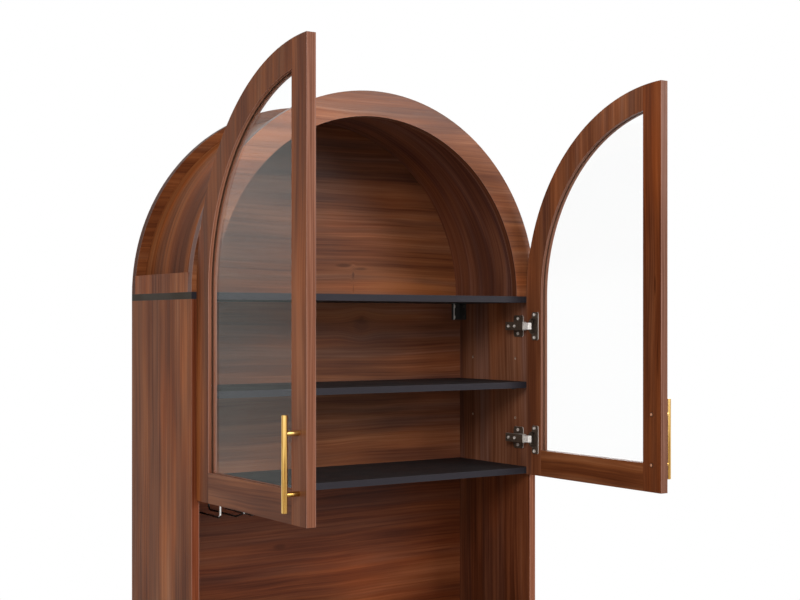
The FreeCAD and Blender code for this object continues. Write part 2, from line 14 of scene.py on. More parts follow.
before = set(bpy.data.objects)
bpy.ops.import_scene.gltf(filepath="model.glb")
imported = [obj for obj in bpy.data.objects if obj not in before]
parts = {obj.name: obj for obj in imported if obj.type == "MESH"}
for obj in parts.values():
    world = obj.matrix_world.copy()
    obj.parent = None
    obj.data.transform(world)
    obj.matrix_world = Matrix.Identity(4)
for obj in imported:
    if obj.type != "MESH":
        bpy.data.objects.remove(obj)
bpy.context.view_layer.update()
bpy.ops.object.select_all(action="DESELECT")
print("frame loaded:", len(parts), "parts")


# Node helpers: a value is a number, a colour or the output of another node
def addNode(tree, kind, inputs=None, **settings):
    node = tree.nodes.new(kind)
    for name, value in settings.items():
        setattr(node, name, value)
    for name, value in (inputs or {}).items():
        plug(tree, node.inputs[name], value)
    return node


def plug(tree, socket, value):
    if isinstance(value, bpy.types.NodeSocket):
        tree.links.new(value, socket)
    elif socket.type == "RGBA":
        socket.default_value = (*value, 1.0)
    else:
        socket.default_value = value


def sums(tree, operation, first, second=0.0, third=0.0):
    inputs = {0: first, 1: second, 2: third}
    return addNode(tree, "ShaderNodeMath", inputs, operation=operation).outputs[0]


# How far a noise swings from its middle
def centred(tree, noise):
    noiseMiddle = 0.5
    return sums(tree, "SUBTRACT", noise, noiseMiddle)


def squares(tree, a, b):
    return sums(tree, "ADD", sums(tree, "MULTIPLY", a, a), sums(tree, "MULTIPLY", b, b))


def distance(tree, first, second, centre):
    a = sums(tree, "SUBTRACT", first, centre[0])
    b = sums(tree, "SUBTRACT", second, centre[1])
    return sums(tree, "SQRT", squares(tree, a, b))


def point(tree, x, y, z):
    return addNode(tree, "ShaderNodeCombineXYZ", {0: x, 1: y, 2: z}).outputs[0]


# Pitches are waves per metre
def plainNoise(tree, place, pitch, detail):
    inputs = {"Vector": place, "Scale": pitch, "Detail": detail}
    return addNode(tree, "ShaderNodeTexNoise", inputs).outputs["Fac"]


# Noise stretched along one direction
def stretchedNoise(tree, along, alongPitch, across, acrossPitch, seed, detail=2.0, roughness=0.5):
    x = sums(tree, "MULTIPLY", along, alongPitch)
    y = sums(tree, "MULTIPLY", across, acrossPitch)
    inputs = {"Vector": point(tree, x, y, seed), "Scale": 1.0,
              "Detail": detail, "Roughness": roughness}
    return addNode(tree, "ShaderNodeTexNoise", inputs).outputs["Fac"]


def spread(tree, value, low, high, toLow=0.0, toHigh=1.0):
    inputs = {"Value": value, "From Min": low, "From Max": high, "To Min": toLow, "To Max": toHigh}
    node = addNode(tree, "ShaderNodeMapRange", inputs, interpolation_type="SMOOTHSTEP")
    return node.outputs["Result"]


# This node has several sockets of one name, so the colour ones go by number
def mixColour(tree, share, first, second, blend="MIX"):
    inputs = {"Factor": share, 6: first, 7: second}
    return addNode(tree, "ShaderNodeMix", inputs, data_type="RGBA", blend_type=blend).outputs[2]


def colourRamp(tree, value, stops):
    node = addNode(tree, "ShaderNodeValToRGB", {"Fac": value})
    elements = node.color_ramp.elements
    while len(elements) < len(stops):
        elements.new(0.5)                 # the place is set below
    for element, (place, colour) in zip(elements, stops):
        element.position = place
        element.color = (*colour, 1.0)
    return node.outputs["Color"]


def bump(tree, height, depth):
    return addNode(tree, "ShaderNodeBump", {"Height": height, "Distance": depth}).outputs["Normal"]


def emptyMaterial(name):
    material = bpy.data.materials.new(name)
    material.use_nodes = True
    material.node_tree.nodes.clear()
    return material, material.node_tree


def newMaterial(name, **fixed):
    material, tree = emptyMaterial(name)
    shader = addNode(tree, "ShaderNodeBsdfPrincipled", fixed)
    addNode(tree, "ShaderNodeOutputMaterial", {"Surface": shader.outputs["BSDF"]})
    return material, tree, shader


def finish(name, material):
    parts[name].data.materials.clear()
    parts[name].data.materials.append(material)


def objectPlace(tree):
    place = addNode(tree, "ShaderNodeTexCoord")
    xyz = addNode(tree, "ShaderNodeSeparateXYZ", {0: place.outputs["Object"]}).outputs
    facing = addNode(tree, "ShaderNodeSeparateXYZ", {0: place.outputs["Normal"]}).outputs
    return place.outputs["Object"], dict(zip("xyz", xyz)), dict(zip("xyz", facing))


# Walnut: streaks that run with the grain, in patches and bands of tone and hue, with a banded edge
# A pitch is waves per metre along and across the grain, and a third number is its share of the tone
walnut = {
    "dark": (0.055, 0.0150, 0.0060),
    "brown": (0.112, 0.032, 0.0120),
    "warm": (0.190, 0.060, 0.0215),
    "pale": (0.300, 0.114, 0.048),
    "stops": (0.12, 0.38, 0.62, 0.92),
    "greyTint": (0.82, 1.00, 1.40),
    "lineTint": (0.62, 0.57, 0.57),
    "knotTint": (0.34, 0.30, 0.30),
    "patchPitch": (2.0, 7.0, 0.60),
    "bandPitch": (1.9, 17.0, 1.00),
    "streakPitch": (2.0, 105.0, 0.50),
    "finePitch": (4.0, 280.0, 0.56),
    "fibrePitch": (30.0, 1500.0, 0.16),
    "layerDetail": 2.5,
    "layerRough": 0.55,
    "linePitch": (4.0, 230.0),
    "lineRange": (0.58, 0.74),
    "lineShare": 0.45,
    "huePitch": (0.6, 27.0),
    "greyRange": (0.46, 0.62),
    "greyShare": 0.70,
    "warmTint": (1.16, 0.98, 0.78),
    "warmRange": (0.48, 0.66),
    "wander": 0.040,                      # metres that the grain strays across a board
    "wanderPitch": (1.6, 2.4),
    "ripple": 0.007,
    "ripplePitch": (7.0, 16.0),
    "knotPull": -0.65,
    "knotRange": (0.55, 0.98),
    "glossRange": (-0.05, 0.55),
    "glossStreak": -0.5,
    "heightFine": 0.6,
    "seeds": {"wander": 0.0, "ripple": 1.3, "layers": 3.0, "layerStep": 2.1,
              "hue": 17.0, "line": 19.0, "rim": 23.0},
    "specular": 0.06,
    "roughLow": 0.30,
    "roughHigh": 0.44,
    "fibreDepth": 0.00012,
    "rimDark": (0.120, 0.038, 0.018),
    "rimMid": (0.190, 0.066, 0.034),
    "rimPale": (0.255, 0.104, 0.060),
    "rimStops": (0.30, 0.50, 0.70),
    "rimPitch": (3.5, 300.0),
    "rimRough": 0.6,
    # painted highlight colour along the edge band's corners
    "cornerHighlightColour": (0.330, 0.180, 0.138),
    "cornerWidth": 0.0015,
    "cornerShare": 0.6,
    "core": (0.160, 0.080, 0.052),
    "coreRange": (0.0006, 0.0014),
    "holeEdge": (0.420, 0.270, 0.190),
    "holeSoft": 1.35,
}
sideways = (0.6, 0.4)                     # share of the normal along the thickness, face to rim
gloss = (0.3, 0.7)                        # noise range over which the other finishes grow rougher


def walnutFigure():
    tree = bpy.data.node_groups.new("walnutFigure", "ShaderNodeTree")
    for name in ("Along", "Across", "Depth", "Thickness", "Rim",
                 "Seed", "Tone", "Wander", "Knot", "Hole"):
        tree.interface.new_socket(name, in_out="INPUT", socket_type="NodeSocketFloat")
    for name in ("Tint", "RimTint"):
        tree.interface.new_socket(name, in_out="INPUT", socket_type="NodeSocketColor")
    tree.interface.new_socket("Colour", in_out="OUTPUT", socket_type="NodeSocketColor")
    for name in ("Roughness", "Height"):
        tree.interface.new_socket(name, in_out="OUTPUT", socket_type="NodeSocketFloat")
    given = addNode(tree, "NodeGroupInput").outputs
    along = given["Along"]
    seeds = walnut["seeds"]

    def grain(pitch, across, seed, detail, roughness=0.5):
        seed = sums(tree, "ADD", given["Seed"], seed)
        return stretchedNoise(tree, along, pitch[0], across, pitch[1], seed, detail, roughness)

    def tinted(colour, share, tint):
        return mixColour(tree, share, colour, tint, "MULTIPLY")

    # the grain wanders a little, slowly and then in small ripples
    slow = grain(walnut["wanderPitch"], given["Across"], seeds["wander"], detail=1.0)
    ripple = grain(walnut["ripplePitch"], given["Across"], seeds["ripple"], detail=1.0)
    slowShift = sums(tree, "MULTIPLY", centred(tree, slow), given["Wander"])
    rippleShift = sums(tree, "MULTIPLY", centred(tree, ripple), walnut["ripple"])
    across = sums(tree, "ADD", sums(tree, "ADD", given["Across"], slowShift), rippleShift)

    tone = given["Tone"]
    layers = {}
    layerNames = ("patchPitch", "bandPitch", "streakPitch", "finePitch", "fibrePitch")
    for step, name in enumerate(layerNames):
        seed = seeds["layers"] + seeds["layerStep"] * step
        layer = grain(walnut[name], across, seed, walnut["layerDetail"], walnut["layerRough"])
        layers[name] = layer
        tone = sums(tree, "MULTIPLY_ADD", centred(tree, layer), walnut[name][2], tone)
    colours = [walnut[name] for name in ("dark", "brown", "warm", "pale")]
    colour = colourRamp(tree, tone, list(zip(walnut["stops"], colours)))

    hue = grain(walnut["huePitch"], across, seeds["hue"], detail=2.0)
    grey = spread(tree, hue, *walnut["greyRange"])
    greyShare = sums(tree, "MULTIPLY", grey, walnut["greyShare"])
    colour = tinted(colour, greyShare, walnut["greyTint"])
    warmShare = spread(tree, layers["patchPitch"], *walnut["warmRange"])
    colour = tinted(colour, warmShare, walnut["warmTint"])
    late = grain(walnut["linePitch"], across, seeds["line"], detail=1.0)
    lines = spread(tree, late, *walnut["lineRange"])
    lateShare = sums(tree, "MULTIPLY", lines, walnut["lineShare"])
    colour = tinted(colour, lateShare, walnut["lineTint"])
    colour = tinted(colour, given["Knot"], walnut["knotTint"])
    colour = tinted(colour, 1.0, given["Tint"])

    # edge band: fast across the board's thickness, slow along the rim, with a painted highlight
    # along its corners
    swept = sums(tree, "ADD", along, given["Across"])
    rimSeed = sums(tree, "ADD", given["Seed"], seeds["rim"])
    rimTone = stretchedNoise(tree, swept, walnut["rimPitch"][0], given["Depth"],
                             walnut["rimPitch"][1], rimSeed, roughness=walnut["rimRough"])
    rimColours = [walnut[name] for name in ("rimDark", "rimMid", "rimPale")]
    rimColour = colourRamp(tree, rimTone, list(zip(walnut["rimStops"], rimColours)))
    fromBack = sums(tree, "SUBTRACT", given["Thickness"], given["Depth"])
    fromCorner = sums(tree, "MINIMUM", given["Depth"], fromBack)
    # painted highlight: a lighter line along the corners of the edge band
    cornerHighlight = spread(tree, fromCorner, 0.0, walnut["cornerWidth"], walnut["cornerShare"], 0.0)
    rimColour = tinted(rimColour, 1.0, given["RimTint"])
    rimColour = mixColour(tree, cornerHighlight, rimColour, walnut["cornerHighlightColour"])
    colour = mixColour(tree, given["Rim"], colour, rimColour)
    # a wall inside a groove is bare board
    inside = spread(tree, fromCorner, *walnut["coreRange"])
    bare = sums(tree, "MULTIPLY", inside, sums(tree, "SUBTRACT", 1.0, given["Rim"]))
    colour = mixColour(tree, bare, colour, walnut["core"])
    colour = mixColour(tree, given["Hole"], colour, walnut["holeEdge"])

    fibres = layers["fibrePitch"]
    shine = sums(tree, "MULTIPLY_ADD", layers["streakPitch"], walnut["glossStreak"], fibres)
    roughness = spread(tree, shine, *walnut["glossRange"], walnut["roughLow"], walnut["roughHigh"])
    height = sums(tree, "MULTIPLY_ADD", layers["finePitch"], walnut["heightFine"], fibres)
    addNode(tree, "NodeGroupOutput", {"Colour": colour, "Roughness": roughness, "Height": height})
    return tree


# The pattern spreads apart round a knot and darkens in it
# A knot is where it lies along and across, its length, width and strength
def bendRoundKnots(tree, along, across, knots):
    mask = 0.0
    for knotAlong, knotAcross, length, width, strength in knots:
        fromKnot = sums(tree, "SUBTRACT", across, knotAcross)
        a = sums(tree, "DIVIDE", sums(tree, "SUBTRACT", along, knotAlong), length)
        b = sums(tree, "DIVIDE", fromKnot, width)
        near = sums(tree, "EXPONENT", sums(tree, "MULTIPLY", squares(tree, a, b), -1.0))
        pull = sums(tree, "MULTIPLY", sums(tree, "MULTIPLY", near, fromKnot), walnut["knotPull"])
        across = sums(tree, "ADD", across, pull)
        core = sums(tree, "MULTIPLY", spread(tree, near, *walnut["knotRange"]), strength)
        mask = sums(tree, "MAXIMUM", core, mask)
    return across, mask


# Bored holes show a paler edge
def holeShare(tree, first, second, holes, radius):
    mask = 0.0
    for hole in holes:
        away = distance(tree, first, second, hole)
        edge = spread(tree, away, radius, radius * walnut["holeSoft"], 1.0, 0.0)
        mask = sums(tree, "MAXIMUM", edge, mask)
    return mask


def walnutMaterial(name, figure, grain, thick, seed, tone=0.5, wander=walnut["wander"], shine=1.0,
                   tint=(1.0, 1.0, 1.0), rimTint=(1.0, 1.0, 1.0), arc=None, fade=None, under=None,
                   holes=(), knots=()):
    material, tree, shader = newMaterial(name, **{"Specular IOR Level": walnut["specular"] * shine})
    _, xyz, facing = objectPlace(tree)
    low, high = (dict(zip("xyz", corner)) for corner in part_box(name))
    if arc:
        # bent board: the grain follows the arc, and the board's thickness is along the radius
        rise = sums(tree, "SUBTRACT", xyz["z"], arc["centreHeight"])
        along = sums(tree, "MULTIPLY", sums(tree, "ARCTAN2", rise, xyz["x"]), arc["radius"])
        reach = addNode(tree, "ShaderNodeVectorMath", {0: point(tree, xyz["x"], 0.0, rise)},
                        operation="LENGTH").outputs["Value"]
        # the shell's inside face, in shade under the arch, gets a greyer tint: painted shade
        inside = sums(tree, "LESS_THAN", reach, arc["radius"])
        tint = mixColour(tree, inside, tint, arc["shadeInsideTint"])
        across, depth, thickness, rim = xyz["y"], 0.0, 1.0, 0.0
    else:
        crossAxis = ({"x", "y", "z"} - {grain, thick}).pop()
        along, across = xyz[grain], xyz[crossAxis]
        depth = sums(tree, "SUBTRACT", xyz[thick], low[thick])
        thickness = high[thick] - low[thick]
        rim = spread(tree, sums(tree, "ABSOLUTE", facing[thick]), *sideways)
    if fade:
        # painted light and shade: the colour shifts along one axis of the board, as painted light
        # on the back panel's right part and painted shade at the top of the arch lining
        paintedLightShare = spread(tree, xyz[fade["axis"]], fade["from"], fade["to"])
        tint = mixColour(tree, paintedLightShare, tint, fade["tint"])
    if under:
        # below the lower board another sheet of veneer with its own grain, on the inner face only;
        # its darker tone is painted shade under the board
        innerFace = sums(tree, "LESS_THAN", depth, thickness / 2)
        below = sums(tree, "LESS_THAN", xyz["z"], under["height"])
        sheet = sums(tree, "MULTIPLY", below, innerFace)
        seed = sums(tree, "MULTIPLY_ADD", sheet, under["seedStep"], seed)
        tone = sums(tree, "MULTIPLY_ADD", sheet, under["toneStep"], tone)
        wander = sums(tree, "MULTIPLY_ADD", sheet, under["wanderStep"], wander)
        tint = mixColour(tree, sheet, tint, under["tint"])
    hole = 0.0
    if holes:
        inner = sums(tree, "LESS_THAN", sums(tree, "ABSOLUTE", xyz["x"]), pinHoles["outerFace"])
        bored = holeShare(tree, xyz["y"], xyz["z"], holes, pinHoles["radius"])
        hole = sums(tree, "MULTIPLY", inner, bored)
    across, knot = bendRoundKnots(tree, along, across, knots)
    figureNode = addNode(tree, "ShaderNodeGroup", node_tree=figure)
    values = {"Along": along, "Across": across, "Depth": depth, "Thickness": thickness, "Rim": rim,
              "Seed": seed, "Tone": tone, "Wander": wander, "Knot": knot, "Hole": hole,
              "Tint": tint, "RimTint": rimTint}
    for socket, value in values.items():
        plug(tree, figureNode.inputs[socket], value)
    plug(tree, shader.inputs["Base Color"], figureNode.outputs["Colour"])
    plug(tree, shader.inputs["Roughness"], figureNode.outputs["Roughness"])
    relief = bump(tree, figureNode.outputs["Height"], walnut["fibreDepth"])
    plug(tree, shader.inputs["Normal"], relief)
    finish(name, material)


veneerJoint = 1.03                        # the upper sheets of veneer end at this height
# the shell's inside tint is painted shade under the arch
archBend = {"centreHeight": 1.4, "radius": 0.375, "shadeInsideTint": (0.90, 1.02, 1.50)}
pinHoles = {
    "places": [(y, z) for y in (0.0215, 0.1735) for z in (1.1391, 1.2671)],
    "radius": 0.0026,
    "outerFace": 0.3990,                  # no holes show this far from the middle
}
# edge band tints: the darker ones for the side panel, ring and plate are painted shade; the greyer
# door ones are partly a painted sheen
edges = {
    "side": (0.72, 0.50, 0.37),
    "ring": (0.45, 0.37, 0.32),
    "plate": (0.36, 0.36, 0.36),
    "doorLeft": (0.93, 0.98, 1.03),
    "doorRight": (0.84, 1.02, 1.22),
}
walnutPieces = {
    "side_panel_left": {"grain": "z", "thick": "x", "seed": 2.0, "tone": 0.565, "shine": 0.6,
                        "tint": (1.0, 0.99, 0.92), "rimTint": edges["side"],
                        "holes": pinHoles["places"]},
    "side_panel_right": {"grain": "z", "thick": "x", "seed": 31.0, "tone": 0.66, "shine": 0.6,
                         "tint": (0.96, 1.06, 1.38), "holes": pinHoles["places"],
                         # below the lower board: its own grain, and a darker tone that is painted
                         # shade
                         "under": {"height": veneerJoint, "seedStep": 5.0, "toneStep": -0.16,
                                   "wanderStep": 0.0, "tint": (1.0, 0.92, 0.95)}},
    "back_panel": {"grain": "x", "thick": "y", "seed": 57.0, "tone": 0.60, "wander": 0.045,
                   "shine": 2.0, "tint": (1.0, 1.10, 1.28),
                   # painted light: lighter and greyer towards the right of the bays
                   "fade": {"axis": "x", "from": 0.12, "to": 0.32,
                            "tint": (1.38, 1.55, 2.05)},
                   # below the lower board: its own grain, and a darker tone that is painted shade
                   "under": {"height": veneerJoint, "seedStep": 9.0, "toneStep": -0.12,
                             "wanderStep": -0.025, "tint": (1.0, 0.84, 0.80)},
                   "knots": [(0.1186, 1.3387, 0.034, 0.030, 0.40),
                             (0.120, 1.345, 0.012, 0.009, 0.45),
                             (-0.083, 0.8755, 0.026, 0.010, 0.55)]},
    "plinth": {"grain": "x", "thick": "y", "seed": 73.0},
    "arch_front_ring": {"grain": "x", "thick": "y", "seed": 91.0, "tone": 0.58, "shine": 3.2,
                        "rimTint": edges["ring"]},
    "arch_back_plate": {"grain": "x", "thick": "y", "seed": 104.0, "tone": 0.62, "shine": 0.5,
                        "tint": (1.02, 0.96, 0.84), "rimTint": edges["plate"]},
    "arch_back_lining": {"grain": "x", "thick": "y", "seed": 110.0, "tone": 0.575, "shine": 2.0,
                         # painted shade: darker towards the top of the recess under the arch
                         "fade": {"axis": "z", "from": 1.53, "to": 1.69,
                                  "tint": (0.55, 0.58, 0.72)},
                         "knots": [(0.070, 1.467, 0.034, 0.007, 0.70),
                                   (0.112, 1.461, 0.030, 0.006, 0.60),
                                   (0.094, 1.447, 0.005, 0.017, 0.60),
                                   (0.0945, 1.420, 0.0025, 0.020, 0.50)]},
    "arch_shell": {"grain": "x", "thick": "z", "seed": 118.0, "tone": 0.52, "shine": 0.35,
                   "tint": (1.03, 0.95, 0.74), "arc": archBend},
    "arch_end_strip_left": {"grain": "z", "thick": "x", "seed": 133.0, "tone": 0.58, "shine": 0.6},
    "arch_end_strip_right": {"grain": "z", "thick": "x", "seed": 147.0, "tone": 0.58, "shine": 0.6},
    "door_hinge_stile_left": {"grain": "z", "thick": "x", "seed": 161.0, "tone": 0.50,
                              "tint": (0.89, 0.85, 0.70), "rimTint": edges["doorLeft"]},
    "door_free_stile_left": {"grain": "z", "thick": "x", "seed": 177.0, "tone": 0.515,
                             "tint": (0.91, 0.88, 0.84), "rimTint": edges["doorLeft"]},
    "door_bottom_rail_left": {"grain": "y", "thick": "x", "seed": 193.0, "tone": 0.53,
                              "tint": (1.02, 1.17, 1.35), "rimTint": edges["doorLeft"]},
    "door_hinge_stile_right": {"grain": "z", "thick": "x", "seed": 211.0, "tone": 0.585,
                               "tint": (1.0, 1.02, 1.12), "rimTint": edges["doorRight"]},
    "door_free_stile_right": {"grain": "z", "thick": "x", "seed": 227.0, "tone": 0.50,
                              "tint": (0.98, 0.83, 0.68), "rimTint": edges["doorRight"],
                              "knots": [(1.415, -0.4125, 0.034, 0.0040, 0.85),
                                        (1.27, -0.4200, 0.060, 0.0030, 0.6)]},
    "door_bottom_rail_right": {"grain": "y", "thick": "x", "seed": 243.0, "tone": 0.55,
                               "tint": (1.0, 0.94, 0.82), "rimTint": edges["doorRight"]},
}
figure = walnutFigure()
for name, look in walnutPieces.items():
    walnutMaterial(name, figure, **look)
print("walnut on", len(walnutPieces), "boards")


# Black laminated boards: a fine emboss, and banded edges that take the light a little, with a
# painted highlight along their corners
blackBoard = {
    "base": (0.0215, 0.0180, 0.0185),
    "pale": (0.0290, 0.0255, 0.0260),
    "edge": (0.0220, 0.0190, 0.0235),
    "end": (0.0185, 0.0115, 0.0050),
    # painted highlight colour along the edge corners
    "cornerHighlight": (0.045, 0.040, 0.042),
    "cornerWidth": 0.0009,
    "cornerShare": 0.45,
    "faceSpecular": 0.02,
    "edgeSpecular": 0.10,
    "roughLow": 0.42,
    "roughHigh": 0.58,
    "embossPitch": 1500.0,
    "embossShare": 0.6,
    "embossDepth": 0.00010,
    "cloudPitch": 9.0,
    "mottleRange": (0.32, 0.68),
}


def blackMaterial(name):
    material, tree, shader = newMaterial(name)
    place, xyz, facing = objectPlace(tree)
    low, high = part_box(name)
    emboss = plainNoise(tree, place, blackBoard["embossPitch"], detail=2.0)
    cloud = plainNoise(tree, place, blackBoard["cloudPitch"], detail=4.0)
    mottle = sums(tree, "MULTIPLY_ADD", centred(tree, emboss), blackBoard["embossShare"], cloud)
    mottled = spread(tree, mottle, *blackBoard["mottleRange"])
    colour = mixColour(tree, mottled, blackBoard["base"], blackBoard["pale"])
    rim = spread(tree, sums(tree, "ABSOLUTE", facing["z"]), *sideways)
    fromBottom = sums(tree, "SUBTRACT", xyz["z"], low.z)
    fromTop = sums(tree, "SUBTRACT", high.z, xyz["z"])
    fromCorner = sums(tree, "MINIMUM", fromBottom, fromTop)
    atEnd = spread(tree, sums(tree, "ABSOLUTE", facing["x"]), *reversed(sideways))
    edge = mixColour(tree, atEnd, blackBoard["edge"], blackBoard["end"])
    # painted highlight: a lighter line along the top and bottom corners of the edges
    cornerHighlight = spread(tree, fromCorner, 0.0, blackBoard["cornerWidth"], blackBoard["cornerShare"], 0.0)
    edge = mixColour(tree, cornerHighlight, edge, blackBoard["cornerHighlight"])
    colour = mixColour(tree, rim, colour, edge)
    plug(tree, shader.inputs["Base Color"], colour)
    plug(tree, shader.inputs["Specular IOR Level"],
         spread(tree, rim, 0.0, 1.0, blackBoard["faceSpecular"], blackBoard["edgeSpecular"]))
    plug(tree, shader.inputs["Roughness"],
         spread(tree, mottle, *gloss, blackBoard["roughLow"], blackBoard["roughHigh"]))
    plug(tree, shader.inputs["Normal"], bump(tree, emboss, blackBoard["embossDepth"]))
    finish(name, material)


blackPieces = ("top_board", "middle_shelf", "lower_board",
               "counter_board", "low_shelf", "bottom_board")
for name in blackPieces:
    blackMaterial(name)
print("black finish on", len(blackPieces), "boards")


# Metals, polished along one direction, with small scratches and a slightly uneven tone
metals = {
    "nickel": {"light": (0.88, 0.83, 0.77), "dark": (0.52, 0.47, 0.42),
               "rough": (0.20, 0.34), "pitch": 260.0, "metal": 0.35},
    # plate: dark flat sides as a painted reflection, a painted highlight on the cut edges
    "plate": {"light": (0.115, 0.083, 0.060), "dark": (0.044, 0.030, 0.022),
              "rough": (0.30, 0.46), "pitch": 420.0, "metal": 0.35,
              "edgeHighlight": (0.58, 0.54, 0.49), "edgeMetal": 0.10},
    "link": {"light": (0.86, 0.80, 0.75), "dark": (0.66, 0.61, 0.56),
             "rough": (0.26, 0.40), "pitch": 260.0, "metal": 0.25},
    # bracket and its screws: a painted highlight strip along the rib
    "bracket": {"light": (0.034, 0.031, 0.026), "dark": (0.020, 0.019, 0.016),
                "rough": (0.45, 0.60), "pitch": 180.0, "metal": 0.0,
                "ribHighlight": (0.95, 0.92, 0.88), "ribHalf": 0.0012},
    "bracketScrew": {"light": (0.060, 0.052, 0.044), "dark": (0.030, 0.026, 0.022),
                     "rough": (0.30, 0.40), "pitch": 180.0, "metal": 0.0,
                     "ribHighlight": (0.92, 0.88, 0.82), "ribHalf": 0.0022},
    # wire: black coating, with a painted glint on one upright
    "wire": {"light": (0.026, 0.022, 0.020), "dark": (0.010, 0.008, 0.008),
             "rough": (0.22, 0.36), "pitch": 180.0, "metal": 0.0,
             "glintLight": (0.80, 0.77, 0.73)},
    # copper: painted shade on the screw heads' rims
    "copper": {"light": (0.86, 0.47, 0.28), "dark": (0.62, 0.32, 0.19),
               "rough": (0.28, 0.42), "pitch": 700.0, "metal": 0.35,
               "rim": (0.130, 0.055, 0.028)},
}
metalPieces = {
    "nickel": ("hinge_plate_screws", "hinge_arm_screws", "hinge_arm_pins",
               "hinge_cup_pins_right", "hinge_cup_screws_right",
               "hinge_cup_pins_left", "hinge_cup_screws_left"),
    "plate": ("hinge_plates", "hinge_arms", "hinge_cups_right", "hinge_cups_left"),
    "link": ("hinge_links_right", "hinge_links_left"),
    "bracket": ("corner_brackets",),
    "bracketScrew": ("corner_bracket_screws",),
    "wire": ("shelf_pins", "rack_screws", "rack_hanger_wires", "rack_rail_wires",
             "rack_strip_front", "rack_strip_back"),
    "copper": ("handle_screws_right", "handle_screws_left"),
}
scratches = {"pitch": (90.0, 3800.0), "seed": 5.0, "share": 0.5, "depth": 0.00002}
cloudRange = (0.30, 0.66)                 # noise range from the dark to the light tone
hingeEdge = {"doorFace": 0.3742, "carcassFrom": -0.0270, "facingFrom": 0.75, "facingTo": 0.45}
ribHighlightPlace = {"awayFromMiddle": 0.3670, "soft": 0.0005, "backFrom": 0.2085, "backTo": 0.2125}
screwRim = {"y": -0.40425, "heights": (1.0745, 1.1705), "from": 0.0022, "to": 0.0032}
glintUpright = {"x": -0.320, "y": -0.0105, "steep": 0.35}


# Stamped plates: the flat sides are painted dark as a painted reflection of the dark wood round
# them, and the cut edges get a painted highlight, but not inside the cup
def edgeHighlightShare(tree, xyz, facing):
    turned = spread(tree, sums(tree, "ABSOLUTE", facing["x"]),
                    hingeEdge["facingFrom"], hingeEdge["facingTo"])
    out = sums(tree, "LESS_THAN", sums(tree, "ABSOLUTE", xyz["x"]), hingeEdge["doorFace"])
    behind = sums(tree, "GREATER_THAN", xyz["y"], hingeEdge["carcassFrom"])
    return sums(tree, "MULTIPLY", turned, sums(tree, "MAXIMUM", out, behind))


# Bracket: a strip down through the two screws in the back panel gets a painted highlight, where a
# pressed rib would catch the light
def ribHighlightShare(tree, xyz, half):
    fromRib = sums(tree, "SUBTRACT", sums(tree, "ABSOLUTE", xyz["x"]), ribHighlightPlace["awayFromMiddle"])
    near = spread(tree, sums(tree, "ABSOLUTE", fromRib), half, half + ribHighlightPlace["soft"], 1.0, 0.0)
    behind = spread(tree, xyz["y"], ribHighlightPlace["backFrom"], ribHighlightPlace["backTo"])
    return sums(tree, "MULTIPLY", near, behind)


# Screw heads: the rounded rim is painted darker than the middle, as painted shade
def rimShadeShare(tree, xyz):
    away = 1.0
    for height in screwRim["heights"]:
        one = distance(tree, xyz["y"], xyz["z"], (screwRim["y"], height))
        away = sums(tree, "MINIMUM", one, away)
    return spread(tree, away, screwRim["from"], screwRim["to"])


# Rack: the upright next to the left side panel gets a painted glint
def glintShare(tree, xyz, facing):
    here = sums(tree, "MULTIPLY", sums(tree, "LESS_THAN", xyz["x"], glintUpright["x"]),
                sums(tree, "LESS_THAN", xyz["y"], glintUpright["y"]))
    upright = sums(tree, "LESS_THAN", sums(tree, "ABSOLUTE", facing["z"]), glintUpright["steep"])
    return sums(tree, "MULTIPLY", here, upright)


def metalMaterial(name, look):
    material, tree, shader = newMaterial(name, Metallic=look["metal"])
    place, xyz, facing = objectPlace(tree)
    cloud = plainNoise(tree, place, look["pitch"], detail=3.0)
    along, across = scratches["pitch"]
    scratch = stretchedNoise(tree, xyz["z"], along, sums(tree, "ADD", xyz["x"], xyz["y"]), across,
                             scratches["seed"], detail=1.0)
    share = sums(tree, "MULTIPLY_ADD", centred(tree, scratch), scratches["share"], cloud)
    colour = mixColour(tree, spread(tree, share, *cloudRange), look["dark"], look["light"])
    if "edgeHighlight" in look:
        # painted highlight on the cut edges
        edge = edgeHighlightShare(tree, xyz, facing)
        colour = mixColour(tree, edge, colour, look["edgeHighlight"])
        plug(tree, shader.inputs["Metallic"],
             spread(tree, edge, 0.0, 1.0, look["metal"], look["edgeMetal"]))
    if "ribHighlight" in look:
        colour = mixColour(tree, ribHighlightShare(tree, xyz, look["ribHalf"]), colour, look["ribHighlight"])
    if "rim" in look:
        colour = mixColour(tree, rimShadeShare(tree, xyz), colour, look["rim"])
    if "glintLight" in look:
        colour = mixColour(tree, glintShare(tree, xyz, facing), colour, look["glintLight"])
    plug(tree, shader.inputs["Base Color"], colour)
    plug(tree, shader.inputs["Roughness"], spread(tree, share, *gloss, *look["rough"]))
    plug(tree, shader.inputs["Normal"], bump(tree, scratch, scratches["depth"]))
    return material


for metal, names in metalPieces.items():
    material = metalMaterial(metal, metals[metal])
    for name in names:
        finish(name, material)
print("metal on", sum(len(names) for names in metalPieces.values()), "parts")


# Brass handles: drawn bar; the light and dark bands along it are painted reflections, with fine
# scratches
# Here a pitch is waves per metre along the bar and per radian round it
brass = {
    # dark, mid and light: colours of the painted reflection bands round the bar
    "dark": (0.300, 0.150, 0.036),
    "mid": (0.600, 0.355, 0.092),
    "light": (0.860, 0.600, 0.235),
    "stops": (0.34, 0.50, 0.68),
    "streakPitch": (6.0, 5.0 / math.pi),
    "reflectionSeed": 3.0,
    "scratchPitch": (40.0, 60.0),
    "scratchSeed": 8.0,
    "scratchShare": 0.35,
    "rough": (0.20, 0.34),
}


